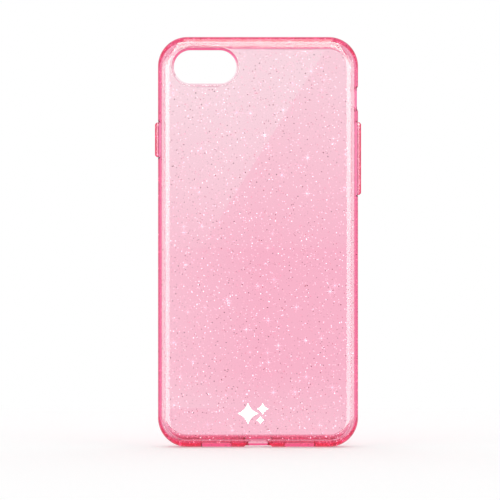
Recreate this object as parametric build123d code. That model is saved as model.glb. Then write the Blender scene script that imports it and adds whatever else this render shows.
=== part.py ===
from build123d import *
import os

# A two-shot phone case: a clear hard back panel inside a soft bumper frame, with pressable button covers.
# +Z runs up the case's length, +X is to the right when its back is seen, and +Y runs from its back
# towards the open screen side. The origin is the middle of the inner back face, where the phone seats.
# All lengths are in millimetres.

# The phone that the case is made for
DEVICE_WIDTH = 67.3
DEVICE_LENGTH = 138.4
DEVICE_DEPTH = 7.3
DEVICE_CORNER = 8.9
DEVICE_BACK_ROUND = 2.5
DEVICE_FRONT_ROUND = 0.9
DEVICE_CLEARANCE = 0.1

# Walls of the case
SIDE_WALL = 1.15
END_WALL = 2.2
BACK_THICKNESS = 1.6
OUTER_CORNER = 10.2
BACK_ROUND = 4.2
FRONT_ROUND = 1.3

# Front lip, which hooks over the edge of the screen and keeps it off a table
LIP_HEIGHT = 1.1
LIP_OVERHANG = 1.2
LIP_EDGE_ROUND = 0.4

# Seam between the hard panel and the soft frame: a tongue of the panel sits in a groove of the frame
SEAM_INSET = 2.6
TONGUE_THICKNESS = 0.6
TONGUE_FROM_INSIDE = 0.6
TONGUE_REACH = 0.4
RING_TONGUE_REACH = 0.5

# Camera window and the soft ring around it, placed from the phone's top left corner as seen from behind
CAMERA_FROM_SIDE = 15.25
CAMERA_FROM_TOP = 8.3
CAMERA_OPENING_WIDTH = 21.8
CAMERA_OPENING_HEIGHT = 11.6
CAMERA_RING_WALL = 1.2
CAMERA_RING_BEVEL = 0.75

# Button covers: each cap floats in a thin web that closes its window in the wall
SIDE_BUTTON_FROM_TOP = 33.55
SIDE_BUTTON_LENGTH = 12.1
VOLUME_BUTTON_FROM_TOP = 40.1
VOLUME_BUTTON_LENGTH = 25.4
CAP_HEIGHT = 3.4
CAP_CORNER = 1.2
CAP_PROUD = 1.05
CAP_EDGE_BEVEL = 0.6
CAP_GAP = 0.12
CAP_TRAVEL = 0.4
TRAVEL_MARGIN = 0.05
WEB_WIDTH = 0.7
WEB_THICKNESS = 0.4

# Inner nubs, which press the phone's own keys; they stand less than the web's thickness, so that the
# cap's plate stays inside its web
NUB_STAND = 0.3
NUB_WIDTH = 1.6
NUB_LENGTH = 6.0
NUB_CORNER = 0.5
VOLUME_NUB_PITCH = 15.0

# Mute-switch slot in the right wall, at the bottom of a shallow scoop
MUTE_FROM_TOP = 19.2
MUTE_SLOT_LENGTH = 6.8
MUTE_SLOT_HEIGHT = 4.6
MUTE_SLOT_CORNER = 1.4
MUTE_SCOOP_FLOOR = 7.2
MUTE_SCOOP_MOUTH = 8.6
MUTE_SCOOP_DEPTH = 0.45

# Charging-port opening in the bottom wall, at the bottom of a shallow scoop, and a sound slot each side
PORT_WIDTH = 8.4
PORT_HEIGHT = 5.0
PORT_CORNER = 2.2
PORT_SCOOP_FLOOR = 8.8
PORT_SCOOP_MOUTH = 10.2
PORT_SCOOP_DEPTH = 0.7
SOUND_SLOT_LENGTH = 11.0
SOUND_SLOT_HEIGHT = 2.0
SOUND_SLOT_FROM_MIDDLE = 14.5

# Printed ornament: four-point sparkles, inlaid flush with the outer back face
PRINT_DEPTH = 0.12
PRINT_CENTRE_X = -1.1
PRINT_FROM_BOTTOM = 9.6
SPARKLE_TIPS = [3.6, 2.0, 1.4]
SPARKLE_OFFSETS = [(-2.4, 0.0), (2.7, 1.6), (1.9, -2.3)]
SPARKLE_WAIST = 1.45

# How far a cutting solid runs past what it cuts
PAST = 5.0

# Worked out from the sizes above
CAVITY_WIDTH = DEVICE_WIDTH + 2 * DEVICE_CLEARANCE
CAVITY_LENGTH = DEVICE_LENGTH + 2 * DEVICE_CLEARANCE
CAVITY_DEPTH = DEVICE_DEPTH + DEVICE_CLEARANCE
CAVITY_CORNER = DEVICE_CORNER + DEVICE_CLEARANCE
CASE_WIDTH = CAVITY_WIDTH + 2 * SIDE_WALL
CASE_LENGTH = CAVITY_LENGTH + 2 * END_WALL
BACK_Y = -BACK_THICKNESS
FRONT_Y = CAVITY_DEPTH + LIP_HEIGHT
MID_DEPTH_Y = DEVICE_DEPTH / 2
KEY_POCKET_X = CAVITY_WIDTH / 2 + CAP_TRAVEL + TRAVEL_MARGIN
CAMERA_X = CAMERA_FROM_SIDE - DEVICE_WIDTH / 2
CAMERA_Z = DEVICE_LENGTH / 2 - CAMERA_FROM_TOP
SIDE_BUTTON_Z = DEVICE_LENGTH / 2 - SIDE_BUTTON_FROM_TOP
VOLUME_BUTTON_Z = DEVICE_LENGTH / 2 - VOLUME_BUTTON_FROM_TOP
MUTE_Z = DEVICE_LENGTH / 2 - MUTE_FROM_TOP
PRINT_Z = PRINT_FROM_BOTTOM - DEVICE_LENGTH / 2


def back_plane(y, x=0.0, z=0.0):
    """Sketch plane seen from the back: its x is +X and its y is +Z."""
    return Plane(origin=(x, y, z), x_dir=(1, 0, 0), z_dir=(0, -1, 0))


def side_plane(x, z):
    """Sketch plane on the right wall at mid depth: its x is +Y and its y is +Z."""
    return Plane(origin=(x, MID_DEPTH_Y, z), x_dir=(0, 1, 0), z_dir=(1, 0, 0))


def end_plane(x, z):
    """Sketch plane across the bottom wall at mid depth: its x is +X and its y is +Y."""
    return Plane(origin=(x, MID_DEPTH_Y, z), x_dir=(1, 0, 0), z_dir=(0, 0, 1))


def depth_prism(sketch, y_low, y_high, x=0.0, z=0.0):
    """A sketch seen from the back, filled between two depths."""
    return extrude(back_plane(y_low, x, z) * sketch, amount=y_high - y_low, dir=(0, 1, 0))


def edges_at_depth(solid, y):
    """The edges that lie wholly in one plane across the depth."""
    return solid.edges().filter_by_position(Axis.Y, y, y)


def inset_outline(inset):
    """The case's outer outline, moved inwards."""
    return RectangleRounded(CASE_WIDTH - 2 * inset, CASE_LENGTH - 2 * inset, OUTER_CORNER - inset)


def outer_body():
    """The whole outside of the case, with its back and front edges rounded."""
    body = depth_prism(inset_outline(0), BACK_Y, FRONT_Y)
    body = fillet(edges_at_depth(body, BACK_Y), BACK_ROUND)
    return fillet(edges_at_depth(body, FRONT_Y), FRONT_ROUND)


def device_cavity():
    """The room for the phone, with the phone's own rounded edges."""
    outline = RectangleRounded(CAVITY_WIDTH, CAVITY_LENGTH, CAVITY_CORNER)
    room = depth_prism(outline, 0, CAVITY_DEPTH)
    room = fillet(edges_at_depth(room, 0), DEVICE_BACK_ROUND + DEVICE_CLEARANCE)
    return fillet(edges_at_depth(room, CAVITY_DEPTH), DEVICE_FRONT_ROUND + DEVICE_CLEARANCE)


def screen_opening():
    """The opening inside the front lip."""
    outline = RectangleRounded(
        CAVITY_WIDTH - 2 * LIP_OVERHANG,
        CAVITY_LENGTH - 2 * LIP_OVERHANG,
        CAVITY_CORNER - LIP_OVERHANG,
    )
    return depth_prism(outline, CAVITY_DEPTH / 2, FRONT_Y + PAST)


def case_shell():
    """Back, walls and front lip as one skin, before it is divided into panel, ring and frame."""
    shell = outer_body() - device_cavity() - screen_opening()
    lip_edges = [
        edge
        for edge in edges_at_depth(shell, FRONT_Y)
        if abs(edge.center().X) < CAVITY_WIDTH / 2 - LIP_OVERHANG / 2
        and abs(edge.center().Z) < CAVITY_LENGTH / 2 - LIP_OVERHANG / 2
    ]
    return fillet(lip_edges, LIP_EDGE_ROUND)


def tongue_slab(sketch, x=0.0, z=0.0):
    """A sketch filled over the tongue's thickness, with its middle a set depth behind the inner back face."""
    middle = -TONGUE_FROM_INSIDE
    return depth_prism(sketch, middle - TONGUE_THICKNESS / 2, middle + TONGUE_THICKNESS / 2, x, z)


def panel_region():
    """Everything inside the seam, with the tongue that reaches into the frame."""
    plug = depth_prism(inset_outline(SEAM_INSET), BACK_Y - PAST, CAVITY_DEPTH / 2)
    return plug + tongue_slab(inset_outline(SEAM_INSET - TONGUE_REACH))


def camera_slot(grow):
    """The camera window's long round outline, grown outwards."""
    return SlotOverall(CAMERA_OPENING_WIDTH + 2 * grow, CAMERA_OPENING_HEIGHT + 2 * grow)


def camera_region():
    """Everything inside the camera ring's outer edge, less the tongue that the panel sends into it."""
    plug = depth_prism(camera_slot(CAMERA_RING_WALL), BACK_Y - PAST, CAVITY_DEPTH / 2, CAMERA_X, CAMERA_Z)
    around = tongue_slab(camera_slot(CAMERA_RING_WALL + PAST), CAMERA_X, CAMERA_Z)
    core = tongue_slab(camera_slot(CAMERA_RING_WALL - RING_TONGUE_REACH), CAMERA_X, CAMERA_Z)
    return plug - (around - core)


def camera_window():
    """The hole that the phone's lens looks through."""
    return depth_prism(camera_slot(0), BACK_Y - PAST, CAVITY_DEPTH / 2, CAMERA_X, CAMERA_Z)


def sparkle(tip):
    """A four-point star with hollow sides."""
    tips = [(tip, 0), (0, tip), (-tip, 0), (0, -tip)]
    sides = [RadiusArc(tips[i], tips[(i + 1) % 4], tip * SPARKLE_WAIST) for i in range(4)]
    return make_face(Wire(sides))


def print_solids():
    """The inlaid sparkles, each a thin island of white ink."""
    solids = []
    for tip, (dx, dz) in zip(SPARKLE_TIPS, SPARKLE_OFFSETS):
        x = PRINT_CENTRE_X + dx
        z = PRINT_Z + dz
        solids.append(depth_prism(sparkle(tip), BACK_Y, BACK_Y + PRINT_DEPTH, x, z))
    return solids


def back_panel(shell, prints):
    panel = (shell & panel_region()) - camera_region()
    for ink in prints:
        panel -= ink
    return panel


def camera_ring(shell):
    ring = (shell & camera_region()) - camera_window()
    outer_face = ring.faces().filter_by(Axis.Y).sort_by(Axis.Y)[0]
    return chamfer(outer_face.inner_wires()[0].edges(), CAMERA_RING_BEVEL)


def window_outline(length, grow):
    """A button cover's outline on the wall, grown outwards."""
    return RectangleRounded(CAP_HEIGHT + 2 * grow, length + 2 * grow, CAP_CORNER + grow)


def wall_prism(sketch, x_low, x_high, z):
    """A sketch on the right wall, filled between two distances from the middle."""
    return extrude(side_plane(x_low, z) * sketch, amount=x_high - x_low)


def button_window(length, z):
    """The hole in the right wall that the web and the cap fill."""
    outline = window_outline(length, CAP_GAP + WEB_WIDTH)
    return wall_prism(outline, CAVITY_WIDTH / 2 - PAST, CASE_WIDTH / 2 + PAST, z)


def button_web(length, z):
    """The thin wall around a cap: the cap flexes in it, so it is thinner than the wall."""
    ring = window_outline(length, CAP_GAP + WEB_WIDTH) - window_outline(length, CAP_GAP)
    return wall_prism(ring, KEY_POCKET_X, KEY_POCKET_X + WEB_THICKNESS, z)


def button_cap(length, z, nub_places):
    """A cap that stands proud of the wall, with nubs inside; it never enters the phone's room."""
    plate_x = KEY_POCKET_X + NUB_STAND
    cap = wall_prism(window_outline(length, 0), plate_x, CASE_WIDTH / 2 + CAP_PROUD, z)
    cap = chamfer(cap.faces().sort_by(Axis.X)[-1].edges(), CAP_EDGE_BEVEL)
    for place in nub_places:
        nub = RectangleRounded(NUB_WIDTH, NUB_LENGTH, NUB_CORNER)
        cap += wall_prism(nub, KEY_POCKET_X, plate_x, z + place)
    return cap


def scoop_outline(mouth, floor, depth):
    """Half-open trapezoid: its floor lies a depth below y = 0, and it opens upwards with sloped ends."""
    points = [
        (-floor / 2, -depth),
        (floor / 2, -depth),
        (mouth / 2, 0),
        (mouth / 2, PAST),
        (-mouth / 2, PAST),
        (-mouth / 2, 0),
    ]
    return Polygon(*points, align=None)


def mute_cut():
    """The scoop across the right wall and the slot through it."""
    plane = Plane(origin=(CASE_WIDTH / 2, BACK_Y - PAST, MUTE_Z), x_dir=(0, 0, 1), z_dir=(0, 1, 0))
    scoop = extrude(
        plane * scoop_outline(MUTE_SCOOP_MOUTH, MUTE_SCOOP_FLOOR, MUTE_SCOOP_DEPTH),
        amount=FRONT_Y - BACK_Y + 2 * PAST,
    )
    slot = RectangleRounded(MUTE_SLOT_HEIGHT, MUTE_SLOT_LENGTH, MUTE_SLOT_CORNER)
    return scoop + wall_prism(slot, CAVITY_WIDTH / 2 - PAST, CASE_WIDTH / 2 + PAST, MUTE_Z)


def port_cut():
    """The scoop across the bottom wall, the port opening and the two sound slots."""
    plane = Plane(origin=(0, BACK_Y - PAST, -CASE_LENGTH / 2), x_dir=(1, 0, 0), z_dir=(0, 1, 0))
    cut = extrude(
        plane * scoop_outline(PORT_SCOOP_MOUTH, PORT_SCOOP_FLOOR, PORT_SCOOP_DEPTH),
        amount=FRONT_Y - BACK_Y + 2 * PAST,
    )
    z_low = -CASE_LENGTH / 2 - PAST
    height = END_WALL + 2 * PAST
    cut += extrude(end_plane(0, z_low) * RectangleRounded(PORT_WIDTH, PORT_HEIGHT, PORT_CORNER), amount=height)
    for side in (-1, 1):
        slot = SlotOverall(SOUND_SLOT_LENGTH, SOUND_SLOT_HEIGHT)
        cut += extrude(end_plane(side * SOUND_SLOT_FROM_MIDDLE, z_low) * slot, amount=height)
    return cut


def bumper_frame(shell):
    frame = shell - panel_region()
    frame -= mirror(button_window(SIDE_BUTTON_LENGTH, SIDE_BUTTON_Z), about=Plane.YZ)
    frame -= button_window(VOLUME_BUTTON_LENGTH, VOLUME_BUTTON_Z)
    frame -= mute_cut()
    return frame - port_cut()


def build():
    """Every node of the case, by name."""
    shell = case_shell()
    prints = print_solids()
    half_pitch = VOLUME_NUB_PITCH / 2
    nodes = {
        "back_panel": back_panel(shell, prints),
        "bumper_frame": bumper_frame(shell),
        "camera_ring": camera_ring(shell),
        "side_button_web": mirror(button_web(SIDE_BUTTON_LENGTH, SIDE_BUTTON_Z), about=Plane.YZ),
        "side_button_cap": mirror(button_cap(SIDE_BUTTON_LENGTH, SIDE_BUTTON_Z, [0]), about=Plane.YZ),
        "volume_button_web": button_web(VOLUME_BUTTON_LENGTH, VOLUME_BUTTON_Z),
        "volume_button_cap": button_cap(VOLUME_BUTTON_LENGTH, VOLUME_BUTTON_Z, [-half_pitch, half_pitch]),
    }
    for number, ink in enumerate(prints, start=1):
        nodes[f"print_sparkle_{number}"] = ink
    return nodes


os.makedirs("parts", exist_ok=True)
for node_name, node_shape in build().items():
    export_step(node_shape, f"parts/{node_name}.step")
    print(node_name, len(node_shape.solids()), round(node_shape.volume, 2))
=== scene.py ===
# %% [markdown]
# # A glittery pink phone case
# This lesson builds the looks of an empty two-shot phone case: a clear pink back panel,
# a soft bumper frame moulded round it, a ring round the camera window, two pressable button
# covers in thin webs, and three sparkles printed near the bottom of the back.
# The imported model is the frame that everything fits: it says where each part is and how it moves.
# Up the case is +Z, right as seen from the back is +X, and the back faces -Y.

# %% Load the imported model
import math
import random

import bmesh
import bpy
from mathutils import Euler, Matrix, Vector
from mathutils.bvhtree import BVHTree


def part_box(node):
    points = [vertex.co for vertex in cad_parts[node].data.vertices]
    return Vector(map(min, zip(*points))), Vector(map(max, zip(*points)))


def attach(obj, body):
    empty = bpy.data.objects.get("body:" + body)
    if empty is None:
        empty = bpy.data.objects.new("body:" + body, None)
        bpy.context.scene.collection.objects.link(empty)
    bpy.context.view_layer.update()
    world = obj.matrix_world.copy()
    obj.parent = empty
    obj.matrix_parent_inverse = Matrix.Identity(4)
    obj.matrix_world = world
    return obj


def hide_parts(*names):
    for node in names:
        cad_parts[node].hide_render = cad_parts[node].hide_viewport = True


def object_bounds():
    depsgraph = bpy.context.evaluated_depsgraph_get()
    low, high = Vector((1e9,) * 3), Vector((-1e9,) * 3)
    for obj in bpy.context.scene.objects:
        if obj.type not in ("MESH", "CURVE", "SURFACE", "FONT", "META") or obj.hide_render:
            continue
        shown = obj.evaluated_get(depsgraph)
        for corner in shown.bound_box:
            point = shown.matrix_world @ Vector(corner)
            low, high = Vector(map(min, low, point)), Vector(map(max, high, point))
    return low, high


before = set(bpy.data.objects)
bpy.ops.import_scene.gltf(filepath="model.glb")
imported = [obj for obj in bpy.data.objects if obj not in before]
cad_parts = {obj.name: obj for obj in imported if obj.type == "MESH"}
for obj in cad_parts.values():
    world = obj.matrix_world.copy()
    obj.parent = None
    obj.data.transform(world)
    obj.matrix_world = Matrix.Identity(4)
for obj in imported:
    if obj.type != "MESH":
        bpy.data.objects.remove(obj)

CAD_LOW, CAD_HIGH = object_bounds()

# %% [markdown]
# ## Sizes
# A mould maker works from one drawing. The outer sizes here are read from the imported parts,
# and the rest are the drawing's own wall and rounding sizes, in millimetres. Blender's unit is
# the metre, so each is multiplied by MM.

# %% Sizes of the case
MM = 0.001
FRAME_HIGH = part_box("bumper_frame")[1]
PANEL_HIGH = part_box("back_panel")[1]
HALF_WIDTH = FRAME_HIGH.x
HALF_LENGTH = FRAME_HIGH.z
BACK_Y = CAD_LOW.y
FRONT_Y = FRAME_HIGH.y

OUTER_CORNER = 10.2 * MM
BACK_ROUND = 4.2 * MM
FRONT_ROUND = 1.3 * MM
SIDE_WALL = 1.15 * MM
END_WALL = 2.2 * MM
CAVITY_DEPTH = 7.4 * MM
CAVITY_CORNER = 9.0 * MM
CAVITY_BACK_ROUND = 2.6 * MM
CAVITY_FRONT_ROUND = 1.0 * MM
LIP_OVERHANG = 1.2 * MM
LIP_EDGE_ROUND = 0.4 * MM
SEAM_INSET = 2.6 * MM
TONGUE_LOW_Y = -0.9 * MM
TONGUE_HIGH_Y = -0.3 * MM
MID_DEPTH_Y = 3.65 * MM
SEAM_GAP = 0.012 * MM

# How far a cutter sticks out past what it cuts, and what counts as lying in one plane.
PAST = 5.0 * MM
IN_PLANE = 0.0001 * MM

# How many facets a round gets: the case's corners and rims, and those of smaller parts.
CASE_CORNER_STEPS = 24
OUTER_RIM_STEPS = 14
ROOM_RIM_STEPS = 10
RING_CORNER_STEPS = 16
NUB_CORNER_STEPS = 4

OUTER_SIZES = (2 * HALF_WIDTH, 2 * HALF_LENGTH, FRONT_Y - BACK_Y)
print("case, mm:", [round(v / MM, 2) for v in OUTER_SIZES])

# %% [markdown]
# ## One tool for every shape: the rounded block
# Nearly all of a phone case is a rounded rectangle pushed through a depth: the outside, the room
# for the phone, the button windows, the caps, even the port slots. One could draw each outline as
# a curve and extrude it. A cube with bevelled edges is quicker and always closed, so each block
# starts as a cube, its four depth edges are bevelled for the corners, and then the rim at the back
# and the rim at the front get their own rounding.

# %% Rounded block
def lies_at(shape, y):
    """True if an edge or a face lies in one plane across the depth."""
    return all(abs(v.co.y - y) < IN_PLANE for v in shape.verts)


def round_off(bm, edges, radius, steps):
    bmesh.ops.bevel(bm, geom=edges, offset=radius, segments=steps, profile=0.5,
                    affect="EDGES", material=-1)


def rounded_block(width, height, low_y, high_y, corner=0.0, back=0.0, front=0.0,
                  corner_steps=10, rim_steps=6):
    """A block with round corners; back and front are the roundings of its two rims."""
    bm = bmesh.new()
    bmesh.ops.create_cube(bm, size=1.0)
    bmesh.ops.scale(bm, vec=(width, high_y - low_y, height), verts=bm.verts)
    bmesh.ops.translate(bm, vec=(0, (low_y + high_y) / 2, 0), verts=bm.verts)
    if corner:
        along_depth = [e for e in bm.edges if abs(e.verts[0].co.y - e.verts[1].co.y) > IN_PLANE]
        just_under_half = 0.4999 * min(width, height)
        round_off(bm, along_depth, min(corner, just_under_half), corner_steps)
    for y, rounding in ((low_y, back), (high_y, front)):
        if rounding:
            round_off(bm, [e for e in bm.edges if lies_at(e, y)], rounding, rim_steps)
    return bm


def flare(bm, y, steps):
    """Grows the face at one depth outwards: each step is (how far out, how far along the depth)."""
    face = next(f for f in bm.faces if lies_at(f, y))
    for out, along in steps:
        made = bmesh.ops.extrude_face_region(bm, geom=[face])
        bmesh.ops.delete(bm, geom=[face], context="FACES_ONLY")
        face = next(g for g in made["geom"] if isinstance(g, bmesh.types.BMFace))
        size_x = max(v.co.x for v in face.verts) - min(v.co.x for v in face.verts)
        size_z = max(v.co.z for v in face.verts) - min(v.co.z for v in face.verts)
        centre = face.calc_center_bounds()
        bmesh.ops.scale(bm, vec=((size_x + 2 * out) / size_x, 1, (size_z + 2 * out) / size_z),
                        space=Matrix.Translation(-centre), verts=face.verts)
        bmesh.ops.translate(bm, vec=(0, along, 0), verts=face.verts)
    return bm


def outside_block():
    """The case's outside before anything is cut from it."""
    return rounded_block(2 * HALF_WIDTH, 2 * HALF_LENGTH, BACK_Y, FRONT_Y,
                         OUTER_CORNER, BACK_ROUND, FRONT_ROUND,
                         corner_steps=CASE_CORNER_STEPS, rim_steps=OUTER_RIM_STEPS)


trial = outside_block()
print("outer block:", len(trial.faces), "faces")
trial.free()

# %% [markdown]
# ## Turning a block to face a wall
# A block is drawn with its outer face towards -Y, like the back. To use it on a side wall or on
# the bottom, it is turned a quarter turn and moved. The turn is applied to the mesh, never
# to the object, so that every finished object stays at the origin.

# %% Placing and finishing helpers
TURNS = {
    "back": Matrix.Identity(4),
    "right": Matrix.Rotation(math.radians(90), 4, "Z"),
    "left": Matrix.Rotation(math.radians(-90), 4, "Z"),
    "bottom": Matrix.Rotation(math.radians(90), 4, "X"),
}


def facing(bm, wall, centre):
    """Turns a block's outer face to a wall and moves its middle there."""
    bmesh.ops.transform(bm, matrix=Matrix.Translation(centre) @ TURNS[wall], verts=bm.verts)
    return bm


def as_object(bm, name):
    """Puts a finished bmesh into the scene as an object at the origin."""
    mesh = bpy.data.meshes.new(name)
    bmesh.ops.recalc_face_normals(bm, faces=bm.faces)
    bm.to_mesh(mesh)
    bm.free()
    made = bpy.data.objects.new(name, mesh)
    bpy.context.scene.collection.objects.link(made)
    return made


def bake_modifiers(made):
    """Swaps an object's mesh for the one its modifiers give."""
    seen = made.evaluated_get(bpy.context.evaluated_depsgraph_get())
    new_mesh = bpy.data.meshes.new_from_object(seen)
    made.modifiers.clear()
    made.data = new_mesh
    return made


def carve(made, blocks, operation="DIFFERENCE"):
    """Cuts, adds or keeps the overlap of blocks with an object, one after the other."""
    tools = []
    for index, block in enumerate(blocks):
        tool = as_object(block, f"tool_{index}")
        step = made.modifiers.new("carve", "BOOLEAN")
        step.operation, step.object, step.solver = operation, tool, "EXACT"
        tools.append(tool)
    bake_modifiers(made)
    for tool in tools:
        bpy.data.objects.remove(tool)
    return made


WELD = 0.0005 * MM
RING_BREAK = 0.08 * MM
WEB_BREAK = 0.06 * MM
CAP_BREAK = 0.1 * MM


def soften(made, width, steps=2, sharper_than=40):
    """Breaks the sharp edges, as any moulded part has them."""
    edge = made.modifiers.new("soften", "BEVEL")
    edge.width, edge.segments = width, steps
    edge.limit_method, edge.angle_limit = "ANGLE", math.radians(sharper_than)
    edge.use_clamp_overlap = True
    return bake_modifiers(made)


def polish(made, sharper_than=32):
    """Smooth shading on the rounds, flat shading on the flats, and hard edges kept."""
    bm = bmesh.new()
    bm.from_mesh(made.data)
    bmesh.ops.remove_doubles(bm, verts=bm.verts, dist=WELD)
    bmesh.ops.dissolve_degenerate(bm, edges=bm.edges, dist=WELD)
    open_edges = sum(not e.is_manifold for e in bm.edges)
    bm.to_mesh(made.data)
    bm.free()
    made.data.shade_smooth()
    made.data.set_sharp_from_angle(angle=math.radians(sharper_than))
    even = made.modifiers.new("even_normals", "WEIGHTED_NORMAL")
    even.keep_sharp = True
    bake_modifiers(made)
    print(f"{made.name}: {len(made.data.polygons)} faces, {open_edges} open edges")
    return made


print("walls a block can face:", ", ".join(TURNS))

# %% [markdown]
# ## The skin of the case
# The real case is one rounded shell before it is divided: the outside block, less the room for
# the phone, less the opening inside the front lip. The lip's inner edge is rounded, which is
# done with a cutter that flares out over its last four tenths of a millimetre.

# %% Shell
def lip_round():
    """The flare's steps along the lip's edge: four arcs, then a short slope out of the case."""
    steps = []
    arc = math.radians(20)
    for k in range(4):
        out = LIP_EDGE_ROUND * (math.cos(k * arc) - math.cos((k + 1) * arc))
        along = LIP_EDGE_ROUND * (math.sin((k + 1) * arc) - math.sin(k * arc))
        steps.append((out, along))
    steps.append((LIP_EDGE_ROUND / 2, LIP_EDGE_ROUND / 8))
    return steps


def case_shell(name):
    """The outside block less the phone's room and the opening inside the lip."""
    room_width = 2 * (HALF_WIDTH - SIDE_WALL)
    room_length = 2 * (HALF_LENGTH - END_WALL)
    room = rounded_block(room_width, room_length, 0, CAVITY_DEPTH, CAVITY_CORNER,
                         CAVITY_BACK_ROUND, CAVITY_FRONT_ROUND,
                         corner_steps=CASE_CORNER_STEPS, rim_steps=ROOM_RIM_STEPS)
    lip_start = FRONT_Y - LIP_EDGE_ROUND
    opening = rounded_block(room_width - 2 * LIP_OVERHANG, room_length - 2 * LIP_OVERHANG,
                            CAVITY_DEPTH / 2, lip_start, CAVITY_CORNER - LIP_OVERHANG,
                            corner_steps=CASE_CORNER_STEPS)
    flare(opening, lip_start, lip_round())
    return carve(as_object(outside_block(), name), [room, opening])


shell = case_shell("shell")
print("shell:", len(shell.data.polygons), "faces")

# %% [markdown]
# ## Dividing the shell
# On the real case the hard panel is moulded first, and the soft frame is shot round its edge. A
# thin tongue of the panel sits in a groove of the frame and locks them. The same two blocks, a
# plug through the back and a wider slab at the tongue's depth, keep the panel out of the shell
# and cut its place from the frame. A hair of a gap is left, so that two clear surfaces
# never lie on each other, which would confuse the light.

# %% Blocks at the seam
def inset_block(inset, low_y, high_y):
    """The case's outline moved inwards, between two depths."""
    return rounded_block(2 * (HALF_WIDTH - inset), 2 * (HALF_LENGTH - inset), low_y, high_y,
                         OUTER_CORNER - inset, corner_steps=CASE_CORNER_STEPS)


def fused(blocks):
    """Several overlapping blocks made one closed block."""
    whole = carve(as_object(blocks[0], "fused"), blocks[1:], "UNION")
    bm = bmesh.new()
    bm.from_mesh(whole.data)
    bpy.data.objects.remove(whole)
    return bm


TONGUE_INSET = HALF_WIDTH - PANEL_HIGH.x
THROUGH_BACK = (BACK_Y - PAST, CAVITY_DEPTH / 2)


def seam_block(gap):
    """Plug and tongue; a positive gap makes them larger."""
    return fused([
        inset_block(SEAM_INSET - gap, *THROUGH_BACK),
        inset_block(TONGUE_INSET - gap, TONGUE_LOW_Y - gap, TONGUE_HIGH_Y + gap),
    ])


RING_LOW, RING_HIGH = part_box("camera_ring")
RING_CENTRE = (RING_LOW + RING_HIGH) / 2
RING_WIDTH = RING_HIGH.x - RING_LOW.x
RING_HEIGHT = RING_HIGH.z - RING_LOW.z
RING_WALL = 1.2 * MM
RING_TONGUE_REACH = 0.5 * MM
RING_OVERLAP = 0.1 * MM
RING_BEVEL = 0.75 * MM
RING_SLOPE = 1.4
print("camera ring, mm:", round(RING_WIDTH / MM, 2), "x", round(RING_HEIGHT / MM, 2))


def long_round(inset, low_y, high_y):
    """The camera ring's long round outline moved inwards, at the camera's place."""
    width, height = RING_WIDTH - 2 * inset, RING_HEIGHT - 2 * inset
    block = rounded_block(width, height, low_y, high_y, height / 2, corner_steps=RING_CORNER_STEPS)
    return facing(block, "back", (RING_CENTRE.x, 0, RING_CENTRE.z))


def ring_block(gap, low_y, high_y):
    """The ring's outline with a groove round its waist for the panel's tongue."""
    waist_low, waist_high = TONGUE_LOW_Y - RING_OVERLAP, TONGUE_HIGH_Y + RING_OVERLAP
    return fused([
        long_round(-gap, low_y, TONGUE_LOW_Y + gap),
        long_round(RING_TONGUE_REACH - gap, waist_low, waist_high),
        long_round(-gap, TONGUE_HIGH_Y - gap, high_y),
    ])


# %% [markdown]
# ## Back panel
# A flat plate of hard clear plastic. It is what the two seam blocks keep of the shell, less the
# camera ring's place and three shallow pockets for the printed sparkles. The pockets are cut with
# copies of the printed pieces themselves, merged and grown by a hair.

# %% Panel
PRINTS = ["print_sparkle_1", "print_sparkle_2", "print_sparkle_3"]
INK_WELD = 0.002 * MM
INK_GROWTH = (1.01, 2.0, 1.01)
INK_CLEARANCE = 0.01 * MM


def print_pocket(node):
    """A copy of a printed piece, merged and grown a hair, to cut its pocket."""
    bm = bmesh.new()
    bm.from_mesh(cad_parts[node].data)
    bmesh.ops.remove_doubles(bm, verts=bm.verts, dist=INK_WELD)
    low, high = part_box(node)
    centre = Vector(((low.x + high.x) / 2, high.y, (low.z + high.z) / 2))
    bmesh.ops.scale(bm, vec=INK_GROWTH, space=Matrix.Translation(-centre), verts=bm.verts)
    bmesh.ops.translate(bm, vec=(0, INK_CLEARANCE, 0), verts=bm.verts)
    return bm


panel = case_shell("clear_back_panel")
carve(panel, [seam_block(-SEAM_GAP)], "INTERSECT")
carve(panel, [ring_block(SEAM_GAP, *THROUGH_BACK)] + [print_pocket(node) for node in PRINTS])
polish(panel)

# %% [markdown]
# ## Camera ring
# A soft ring of the frame's plastic lines the camera window, and its inner edge is bevelled so
# that the flash is not shaded. It is added up from three long round blocks, the middle one
# narrower for the groove, then the window is cut and its back edge flared.

# %% Ring
ring = as_object(ring_block(-SEAM_GAP, BACK_Y, 0.0), "camera_window_ring")
window = long_round(RING_WALL, BACK_Y + RING_BEVEL, PAST)
flare(window, BACK_Y + RING_BEVEL, [(RING_BEVEL * RING_SLOPE, -RING_BEVEL * RING_SLOPE)])
carve(ring, [window])
soften(ring, RING_BREAK)
polish(ring)

# %% [markdown]
# ## Bumper frame
# The soft frame is the shell less the panel's place. Then its openings are cut as in the mould:
# a window for each button cover, a shallow scoop with the mute switch's slot on the right, and at
# the bottom a scoop with the charging port between two sound slots.

# %% Openings of the frame
WINDOW_MARGIN = 0.82 * MM
WEB_MARGIN = 0.12 * MM
CAP_CORNER = 1.2 * MM


def node_face(node):
    """Middle and sizes of a node on a side wall: along the depth, and up the wall."""
    low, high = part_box(node)
    return (low + high) / 2, high.y - low.y, high.z - low.z


def wall_block(node, margin, inner, outer, corner, wall, **more):
    """A block over a button cover, between two distances from the middle of the case."""
    centre, depth, length = node_face(node)
    block = rounded_block(depth + 2 * margin, length + 2 * margin, -outer, -inner, corner, **more)
    return facing(block, wall, (0, centre.y, centre.z))


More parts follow.
